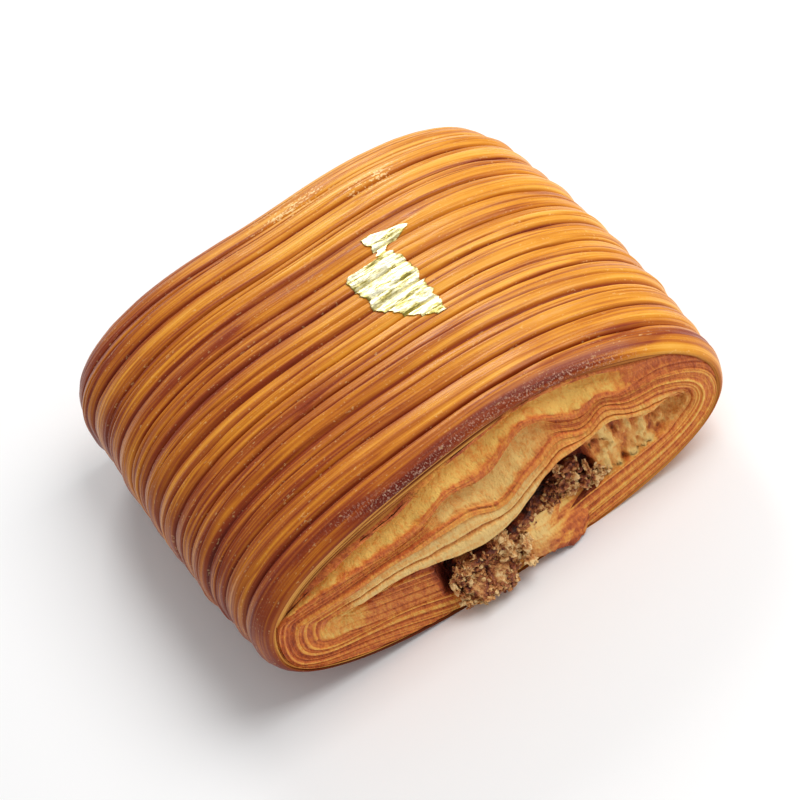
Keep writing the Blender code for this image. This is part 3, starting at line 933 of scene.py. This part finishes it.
# loose crumbs of the filling, strewn over its front and down over the lip
def makeCrumbs(paste):
    draw = np.random.default_rng(crumbs["seed"])
    points = np.array([vertex.co for vertex in paste.data.vertices])
    share = np.empty(len(points))
    paste.data.attributes["crumbly"].data.foreach_get("value", share)
    depth = points[:, 1]
    ends = np.flatnonzero((depth < depth.min() + 0.008) | (depth > depth.max() - 0.0016))
    weight = 0.25 + share[ends]
    chosen = draw.choice(ends, crumbs["count"], replace=False, p=weight / weight.sum())
    piece, ball, faces = ballShape(2)
    piece.name = piece.data.name = "fillingCrumbs"
    places, joined, tones = [], [], []
    smallest, largest = crumbs["size"]
    for number, index in enumerate(chosen):
        size = smallest + (largest - smallest) * draw.uniform() ** 2
        stretch = draw.uniform(*crumbs["stretch"], 3)
        bumps = 1 + 0.75 * ballNoise(ball, 1.6, number, 111)
        shape = ball * bumps[:, None] * stretch * size
        place = points[index] + np.array((0, 0.3 * size * np.sign(points[index][1]), 0))
        place[2] = max(place[2], size * 1.3)
        joined += [tuple(corner + number * len(ball) for corner in face) for face in faces]
        places.append(shape + place)
        tones += [draw.uniform(*crumbs["tone"])] * len(ball)
    mould, ball, faces = ballShape(3)
    bpy.data.objects.remove(mould)
    first = sum(len(place) for place in places)
    origin = seated(0.0, 0.0, 0.0)
    lumps = [heap for heap in crumbs["heaps"] for _ in range(heap[5])]
    for number, (middleX, middleZ, halfWidth, halfHeight, reach, _, heapTone) in enumerate(lumps):
        turn, away = draw.uniform(0, 2 * math.pi), math.sqrt(draw.uniform())
        x = middleX + halfWidth * away * math.cos(turn)
        z = middleZ + halfHeight * away * math.sin(turn)
        ahead = mix(*reach, 0.5 - 0.5 * away * math.sin(turn)) + draw.uniform(-0.0004, 0.0004)
        size = mix(*crumbs["lumpSize"], draw.uniform() ** 1.5)
        crumbled = ballNoise(ball, 1.1, number * 2.7, 112, 2)
        ridges = np.abs(ballNoise(ball, 2.6, number * 5, 113, 1))
        bits = ballNoise(ball, 5, number * 3, 114)
        stretch = draw.uniform(*crumbs["lumpStretch"], 3)
        shape = ball * stretch * (0.85 + 0.75 * crumbled - 0.70 * ridges + 0.25 * bits)[:, None] * size
        inHole = holeShare(x, z)
        centre = origin + np.array((x, -roll["length"] / 2 - ahead + 0.004 * inHole, z))
        shape = shape + centre
        shape[:, 2] = np.maximum(shape[:, 2], 0.0003)
        places.append(shape)
        joined += [tuple(corner + first for corner in face) for face in faces]
        first += len(ball)
        # crumbs in the hollow are painted darker as shade
        shade = heapTone + 0.30 * draw.uniform(-1, 1) - 0.5 * inHole
        tones += np.clip(shade + 0.30 * bits + 0.5 * crumbled - 0.35 * ridges, 0, 1).tolist()
    piece.data.clear_geometry()
    piece.data.from_pydata(np.concatenate(places).tolist(), [], joined)
    piece.data.attributes.new("tone", "FLOAT", "POINT").data.foreach_set("value", tones)
    piece.data.attributes.new("crumbly", "FLOAT", "POINT").data.foreach_set("value", [1.0] * len(tones))
    bpy.ops.object.shade_smooth()
    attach(piece, "root")
    return piece


# the torn flap of bottom layers under the mouth: corners as x, y and z in millimetres, from the end plane
flap = {
    "rows": 40,
    "columns": 52,
    "thickness": 0.00034,
    "layers": 5,
    "foot": ((5.5, 0.0, 12.5), (27.0, -3.0, 9.5)),
    "edge": ((2.4, 2.2, 4.6), (12.6, 1.6, 1.2)),
    "bulge": 0.0012,
    "spread": 0.00075,  # how far each layer down stands from the one above
    "ragged": 0.0009,
}


def makeFlap():
    parts = []
    for number in range(flap["layers"]):
        down = steps(0, 1, flap["rows"])
        side = steps(0, 1, flap["columns"]).T
        corners = (np.array(flap[key]).T / 1000 for key in ("foot", "edge"))
        foot, edge = ([mix(*ends, side) for ends in pair] for pair in corners)
        torn = flap["ragged"] * layeredNoise(side * 9 + number * 7.3, 0.0, 0.0, 131)
        torn = torn + 0.0012 * bell((side - 0.96) / 0.10) - 0.0014 * bell(side / 0.12)
        x = mix(foot[0], edge[0] + 0.4 * torn, down)
        ahead = mix(foot[1], edge[1] + 0.5 * torn, np.sin(down * math.pi / 2) ** (0.8 + 1.7 * side))
        z = mix(foot[2], edge[2] - 0.7 * torn, down ** 1.3)
        wave = 0.00035 * softNoise(side * 5, down * 3, number * 0.8, 132)
        ahead = ahead + flap["bulge"] * np.sin(math.pi * down) * (0.6 - 0.4 * side) + wave - 0.0005 * number
        z = z + wave - flap["spread"] * number * (0.4 + 0.6 * down)
        frayed = layeredNoise(down * 7 + number * 3.1, 0.0, 0.0, 135)
        x = x + 0.00055 * number * down + 0.0014 * frayed * (1 - side) ** 6
        grain = softNoise(side * 4, down * 11 + side * 3, number, 133)
        grain = grain + 0.7 * softNoise(side * 5, down * 30, number, 134)
        outer = smooth((side - 0.25) / 0.45)
        tone = 0.10 + 0.08 * number + 0.30 * down ** 6 + 0.30 * outer + (0.16 + 0.12 * outer) * grain
        pale = np.clip(0.60 - 0.14 * number, 0, 1) * (1 - 0.9 * outer)
        points = seated(x, -roll["length"] / 2 - ahead, np.maximum(z, 0.0006))
        piece = shapedGrid(f"flap{number}", points, {"brown": tone, "pale": pale})
        thick = piece.modifiers.new("thickness", "SOLIDIFY")
        thick.thickness = flap["thickness"]
        thick.offset = 0
        bpy.ops.object.modifier_apply(modifier=thick.name)
        parts.append(piece)
    bpy.ops.object.select_all(action="DESELECT")
    for piece in parts:
        piece.select_set(True)
    bpy.context.view_layer.objects.active = parts[0]
    bpy.ops.object.join()
    piece = parts[0]
    piece.name = piece.data.name = "tornFlap"
    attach(piece, "root")
    return piece


fillingPiece = makeFilling()
crumbPiece = makeCrumbs(fillingPiece)
flapPiece = makeFlap()
leafPiece = makeGoldLeaf()
print("filling and gold leaf", len(fillingPiece.data.polygons), len(leafPiece.data.polygons))


# materials
def newMaterial(name):
    material = bpy.data.materials.new(name)
    material.use_nodes = True
    return material, material.node_tree, material.node_tree.nodes["Principled BSDF"]


def node(tree, kind, settings=None, **links):
    made = tree.nodes.new(kind)
    for key, value in (settings or {}).items():
        if hasattr(made, key):
            setattr(made, key, value)
        else:
            made.inputs[key].default_value = value
    for key, source in links.items():
        place = int(key[1:]) if key[0] == "i" and key[1:].isdigit() else key.replace("_", " ")
        tree.links.new(source, made.inputs[place])
    return made


def attribute(tree, name):
    return node(tree, "ShaderNodeAttribute", {"attribute_name": name}).outputs["Fac"]


def math2(tree, operation, first, second=None, clamp=False):
    made = tree.nodes.new("ShaderNodeMath")
    made.operation = operation
    made.use_clamp = clamp
    for place, value in enumerate((first, second)):
        if value is None:
            continue
        if isinstance(value, (int, float)):
            made.inputs[place].default_value = value
        else:
            tree.links.new(value, made.inputs[place])
    return made.outputs[0]


def plus(tree, *values):
    total = values[0]
    for value in values[1:]:
        total = math2(tree, "ADD", total, value)
    return total


def times(tree, *values):
    total = values[0]
    for value in values[1:]:
        total = math2(tree, "MULTIPLY", total, value)
    return total


def minus(tree, first, second, clamp=False):
    return math2(tree, "SUBTRACT", first, second, clamp)


# a noise of 0 to 1, made to swing both ways
def swing(tree, value, strength):
    return times(tree, minus(tree, value, 0.5), strength)


def ramp(tree, source, stops):
    made = tree.nodes.new("ShaderNodeValToRGB")
    elements = made.color_ramp.elements
    while len(elements) > 1:
        elements.remove(elements[-1])
    elements[0].position = stops[0][0]
    elements[0].color = (*stops[0][1], 1)
    for position, colour in stops[1:]:
        elements.new(position).color = (*colour, 1)
    tree.links.new(source, made.inputs["Fac"])
    return made.outputs["Color"]


def blend(tree, amount, first, second, kind="MIX"):
    made = tree.nodes.new("ShaderNodeMix")
    made.data_type = "RGBA"
    made.blend_type = kind
    for place, value in ((0, amount), (6, first), (7, second)):
        if isinstance(value, (int, float)):
            made.inputs[place].default_value = value
        elif isinstance(value, tuple):
            made.inputs[place].default_value = (*value, 1)
        else:
            tree.links.new(value, made.inputs[place])
    return made.outputs[2]


# a group: grain of two sizes on Object coordinates, for crumb, crust and paste alike
def grainGroup():
    tree = bpy.data.node_groups.new("bakedGrain", "ShaderNodeTree")
    for label, kind in (("Stretch", "Vector"), ("Coarse", "Float"), ("Fine", "Float")):
        tree.interface.new_socket(label, in_out="INPUT", socket_type="NodeSocket" + kind)
    for label in ("Blotch", "Speckle"):
        tree.interface.new_socket(label, in_out="OUTPUT", socket_type="NodeSocketFloat")
    given = tree.nodes.new("NodeGroupInput")
    result = tree.nodes.new("NodeGroupOutput")
    place = tree.nodes.new("ShaderNodeTexCoord").outputs["Object"]
    multiply = {"operation": "MULTIPLY"}
    place = node(tree, "ShaderNodeVectorMath", multiply, i0=place, i1=given.outputs["Stretch"]).outputs[0]
    sizes = (("Coarse", "Blotch", {"Detail": 4.0, "Roughness": 0.6}), ("Fine", "Speckle", {"Detail": 2.0}))
    for size, label, settings in sizes:
        noise = node(tree, "ShaderNodeTexNoise", settings, Vector=place, Scale=given.outputs[size])
        tree.links.new(noise.outputs["Fac"], result.inputs[label])
    return tree


grain = grainGroup()


def grainNode(tree, stretch, coarse, fine):
    made = tree.nodes.new("ShaderNodeGroup")
    made.node_tree = grain
    made.inputs["Stretch"].default_value = stretch
    made.inputs["Coarse"].default_value = coarse
    made.inputs["Fine"].default_value = fine
    return made.outputs["Blotch"], made.outputs["Speckle"]


def bump(tree, shader, height, distance):
    made = node(tree, "ShaderNodeBump", {"Strength": 1.0, "Distance": distance}, Height=height)
    tree.links.new(made.outputs["Normal"], shader.inputs["Normal"])


crust = {
    "tones": (
        (0.00, (0.880, 0.440, 0.065)),
        (0.20, (0.740, 0.290, 0.020)),
        (0.42, (0.520, 0.150, 0.008)),
        (0.66, (0.275, 0.042, 0.005)),
        (0.90, (0.170, 0.017, 0.003)),
        (1.00, (0.140, 0.013, 0.003)),
    ),
    "lipTones": (
        (0.10, (0.700, 0.330, 0.065)),
        (0.40, (0.480, 0.160, 0.026)),
        (0.70, (0.280, 0.070, 0.012)),
        (1.00, (0.130, 0.024, 0.006)),
    ),
    "glint": (1.00, 0.72, 0.32),
    "dashes": (18, 260),  # lines for each rib, and waves for each metre along them
    "paintedSheen": ((0.005, 0.041, 0.013, 0.006), (0.022, 0.033, 0.010, 0.004)),  # middle x and y, half lengths
    "rimGlint": (1.00, 0.62, 0.44),
    "grooveTone": 0.66,
    "bakeAndShadeTone": 0.64,
    "streaks": ((4.5, 20), (14.0, 30), (1.4, 9)),  # lines for each rib, and waves for each metre along them
    "streakTones": (0.85, 0.65, 0.55),
    "grain": (90, 1700),
    "blotchTone": 0.25,
    "burntTone": 0.58,
    "lipStreak": 0.8,
    "glints": (0.70, 8.0, 0.28),  # where they start in the noise, how sharply, and their strength
    "paintedSheenGlints": (0.17, 0.60),  # how much sooner they start in the painted sheen, and how much stronger they are
    "paintedSheenAbove": 0.02,
    "paintedRimGlints": (2600, 0.515, 9.0, 0.85),  # painted glints on the burnt rim: grain, start, sharpness, strength
    "roughness": 0.32,
    "speckleRoughness": 0.16,
    "lipRoughness": 0.25,
    "specular": 0.20,
    "coat": 0.17,
    "coatRoughness": 0.14,
    "bump": 0.00035,
}


# where a painted sheen of small pale dashes shines on the back of the crust
def paintedSheenShare(tree, split):
    shares = []
    for x, y, halfX, halfY in crust["paintedSheen"]:
        middle = seated(x, y, 0.0)
        squares = []
        for axis, halfLength, label in ((0, halfX, "X"), (1, halfY, "Y")):
            away = minus(tree, split.outputs[label], float(middle[axis]))
            away = math2(tree, "DIVIDE", away, halfLength)
            squares.append(times(tree, away, away))
        shares.append(minus(tree, 1.0, plus(tree, *squares), clamp=True))
    above = math2(tree, "GREATER_THAN", split.outputs["Z"], crust["paintedSheenAbove"])
    return times(tree, math2(tree, "MAXIMUM", *shares), above)


def crustMaterial():
    material, tree, shader = newMaterial("glazedCrust")
    names = ("groove", "bakeAndShade", "cutLip", "burnt", "rib")
    groove, bakeAndShade, lip, burnt, rib = (attribute(tree, name) for name in names)
    place = tree.nodes.new("ShaderNodeTexCoord").outputs["Object"]
    split = node(tree, "ShaderNodeSeparateXYZ", Vector=place)
    settings = {"Scale": 1.0, "Detail": 2.0, "Roughness": 0.6}
    streaks = []
    for rate, reach in (*crust["streaks"], crust["dashes"]):
        ways = tree.nodes.new("ShaderNodeCombineXYZ")
        for label in ("X", "Y", "Z"):
            value, scale = (rib, rate) if label == "Y" else (split.outputs[label], reach)
            tree.links.new(times(tree, value, scale), ways.inputs[label])
        noise = node(tree, "ShaderNodeTexNoise", settings, Vector=ways.outputs[0])
        streaks.append(minus(tree, noise.outputs["Fac"], 0.5))
    blotch, speckle = grainNode(tree, (1, 1, 1), *crust["grain"])
    # the bake share carries painted shade and sheen as well as bake; the groove darkness is partly painted
    # shade
    tone = plus(tree, times(tree, bakeAndShade, crust["bakeAndShadeTone"]), times(tree, groove, crust["grooveTone"]))
    for streak, strength in zip(streaks, crust["streakTones"]):
        tone = plus(tree, tone, times(tree, streak, strength))
    tone = plus(tree, tone, swing(tree, blotch, crust["blotchTone"]), times(tree, burnt, crust["burntTone"]))
    colour = ramp(tree, tone, crust["tones"])
    cutTone = plus(tree, groove, times(tree, streaks[1], crust["lipStreak"]))
    colour = blend(tree, lip, colour, ramp(tree, cutTone, crust["lipTones"]))
    # painted glints: tiny pale highlights on the glaze, most on the burnt rim
    paintedSheen = paintedSheenShare(tree, split)
    uncut = minus(tree, 1.0, lip, clamp=True)
    start, sharpness, strength = crust["glints"]
    sooner, stronger = crust["paintedSheenGlints"]
    glints = plus(tree, speckle, streaks[3], times(tree, paintedSheen, sooner))
    glints = math2(tree, "MULTIPLY", minus(tree, glints, start, clamp=True), sharpness, clamp=True)
    strength = plus(tree, strength, times(tree, paintedSheen, stronger))
    colour = blend(tree, times(tree, times(tree, glints, uncut), strength), colour, crust["glint"])
    # painted pinkish highlights on the burnt rim
    size, start, sharpness, strength = crust["paintedRimGlints"]
    paintedRimGlints = grainNode(tree, (1, 0.6, 1), size, 700)[0]
    paintedRimGlints = math2(tree, "MULTIPLY", minus(tree, paintedRimGlints, start, clamp=True), sharpness, clamp=True)
    paintedRimGlints = times(tree, paintedRimGlints, times(tree, burnt, burnt), strength)
    colour = blend(tree, paintedRimGlints, colour, crust["rimGlint"])
    tree.links.new(colour, shader.inputs["Base Color"])
    rough = plus(tree, crust["roughness"], times(tree, speckle, crust["speckleRoughness"]))
    tree.links.new(plus(tree, rough, times(tree, lip, crust["lipRoughness"])), shader.inputs["Roughness"])
    shine = times(tree, minus(tree, 1.0, plus(tree, groove, burnt), clamp=True), uncut, crust["coat"])
    tree.links.new(shine, shader.inputs["Coat Weight"])
    shader.inputs["Specular IOR Level"].default_value = crust["specular"]
    shader.inputs["Coat Roughness"].default_value = crust["coatRoughness"]
    height = times(tree, plus(tree, streaks[0], streaks[1]), 0.5)
    rise = plus(tree, times(tree, speckle, 0.20), times(tree, paintedRimGlints, 0.5))
    bump(tree, shader, plus(tree, height, rise), crust["bump"])
    return material


cut = {
    "tones": (
        (0.00, (0.900, 0.530, 0.110)),
        (0.20, (0.850, 0.340, 0.055)),
        (0.42, (0.690, 0.180, 0.036)),
        (0.64, (0.440, 0.082, 0.020)),
        (1.00, (0.150, 0.020, 0.009)),
    ),
    "paleTones": (
        (0.00, (0.850, 0.600, 0.250)),
        (0.20, (0.800, 0.440, 0.130)),
        (0.42, (0.620, 0.240, 0.055)),
        (0.64, (0.360, 0.098, 0.026)),
        (1.00, (0.080, 0.020, 0.009)),
    ),
    "grain": (700, 2200),
    "grainTones": (0.65, 0.50),
    "roughness": 0.50,
    "specular": 0.30,
    "bump": 0.00065,
}


def layersMaterial():
    material, tree, shader = newMaterial("cutLayers")
    blotch, speckle = grainNode(tree, (1, 1, 0.4), *cut["grain"])
    coarse, fine = cut["grainTones"]
    tone = plus(tree, attribute(tree, "brown"), swing(tree, blotch, coarse), swing(tree, speckle, fine))
    golden, creamy = (ramp(tree, tone, cut[key]) for key in ("tones", "paleTones"))
    colour = blend(tree, attribute(tree, "pale"), golden, creamy)
    tree.links.new(colour, shader.inputs["Base Color"])
    shader.inputs["Roughness"].default_value = cut["roughness"]
    shader.inputs["Specular IOR Level"].default_value = cut["specular"]
    bump(tree, shader, plus(tree, blotch, times(tree, speckle, 0.5)), cut["bump"])
    return material


paste = {
    "tones": (
        (0.00, (0.035, 0.006, 0.002)),
        (0.30, (0.175, 0.030, 0.010)),
        (0.55, (0.420, 0.125, 0.032)),
        (0.80, (0.700, 0.340, 0.105)),
        (1.00, (0.880, 0.600, 0.270)),
    ),
    "grain": (900, 2600),
    "crumblyTone": 0.22,
    "blotchTone": 1.4,
    "roughness": 0.45,
    "bump": 0.0007,
}


def fillingMaterial():
    material, tree, shader = newMaterial("darkFilling")
    blotch, speckle = grainNode(tree, (1, 1, 1), *paste["grain"])
    crumbly = times(tree, attribute(tree, "crumbly"), paste["crumblyTone"])
    tone = plus(tree, attribute(tree, "tone"), crumbly, swing(tree, blotch, paste["blotchTone"]))
    tree.links.new(ramp(tree, tone, paste["tones"]), shader.inputs["Base Color"])
    shader.inputs["Roughness"].default_value = paste["roughness"]
    bump(tree, shader, plus(tree, blotch, times(tree, speckle, 0.4)), paste["bump"])
    return material


gold = {
    "tones": (
        (0.35, (0.34, 0.28, 0.07)),
        (0.42, (0.74, 0.64, 0.27)),
        (0.48, (0.90, 0.82, 0.48)),
        (0.64, (1.00, 0.95, 0.72)),
    ),
    "grain": (1100, 2400),
    "grooveTone": 0.10,
    "borderTone": 0.12,
    "roughness": 0.30,
    "bump": 0.00025,
}


def goldMaterial():
    material, tree, shader = newMaterial("goldFoil")
    blotch, speckle = grainNode(tree, (0.25, 1, 0.25), *gold["grain"])
    # darker over the grooves below: partly painted shade in the dips
    tone = minus(tree, blotch, times(tree, attribute(tree, "groove"), gold["grooveTone"]))
    tone = minus(tree, tone, times(tree, attribute(tree, "border"), gold["borderTone"]))
    tree.links.new(ramp(tree, tone, gold["tones"]), shader.inputs["Base Color"])
    shader.inputs["Metallic"].default_value = 1.0
    shader.inputs["Roughness"].default_value = gold["roughness"]
    bump(tree, shader, plus(tree, blotch, times(tree, speckle, 0.3)), gold["bump"])
    return material


def dress(piece, material):
    piece.data.materials.clear()
    piece.data.materials.append(material)


dress(wrapPiece, crustMaterial())
layers = layersMaterial()
dress(frontRoll, layers)
dress(backRoll, layers)
pasteMaterial = fillingMaterial()
dress(fillingPiece, pasteMaterial)
dress(crumbPiece, pasteMaterial)
dress(flapPiece, layers)
dress(leafPiece, goldMaterial())
print("materials")


# floor, light and camera
studio = {
    "floorSize": 4.0,
    "floorColour": (0.93, 0.93, 0.93),
    "worldStrength": 0.48,
    "lamps": {
        "key": {"place": (0.40, -0.10, 0.62), "size": 0.50, "power": 3.95},
        "back": {"place": (0.18, 0.62, 0.46), "size": 0.25, "power": 1.9},
    },
}


def makeStudio():
    bpy.ops.object.select_all(action="DESELECT")
    bpy.ops.mesh.primitive_plane_add(size=studio["floorSize"], location=(0, 0, 0))
    floor = bpy.context.object
    floor.name = "floor"
    material, tree, shader = newMaterial("paleFloor")
    shader.inputs["Base Color"].default_value = (*studio["floorColour"], 1)
    shader.inputs["Roughness"].default_value = 0.8
    dress(floor, material)
    for label, values in studio["lamps"].items():
        lamp = bpy.data.lights.new(label, "AREA")
        lamp.energy = values["power"]
        lamp.size = values["size"]
        holder = bpy.data.objects.new(label, lamp)
        bpy.context.scene.collection.objects.link(holder)
        holder.location = values["place"]
        holder.rotation_euler = (-holder.location).to_track_quat("-Z", "Y").to_euler()
    world = bpy.data.worlds.new("studio")
    world.use_nodes = True
    background = world.node_tree.nodes["Background"]
    background.inputs["Color"].default_value = (1, 1, 1, 1)
    background.inputs["Strength"].default_value = studio["worldStrength"]
    bpy.context.scene.world = world
    bpy.context.scene.view_settings.view_transform = "Standard"


view = {
    "azimuth": -8.12,
    "elevation": 46.50,
    "roll": 26.79,
    "distance": 0.4995,
    "aim": (0.0005, -0.0031, 0.0165),  # in the roll's own place
    "lens": 104.95,
}


def makeCamera():
    azimuth, elevation, turn = (math.radians(view[key]) for key in ("azimuth", "elevation", "roll"))
    level = math.cos(elevation)
    back = Vector((math.sin(azimuth) * level, -math.cos(azimuth) * level, math.sin(elevation)))
    right = Vector((0, 0, 1)).cross(back).normalized()
    up = back.cross(right)
    tiltedRight = right * math.cos(turn) - up * math.sin(turn)
    tiltedUp = right * math.sin(turn) + up * math.cos(turn)
    aim = Vector(seated(*view["aim"]))
    lens = bpy.data.cameras.new("view")
    lens.lens = view["lens"]
    lens.sensor_width = 36
    camera = bpy.data.objects.new("view", lens)
    bpy.context.scene.collection.objects.link(camera)
    turned = Matrix((tiltedRight, tiltedUp, back)).transposed()
    camera.matrix_world = Matrix.Translation(aim + back * view["distance"]) @ turned.to_4x4()
    bpy.context.scene.camera = camera


makeStudio()
makeCamera()
print("studio and camera")
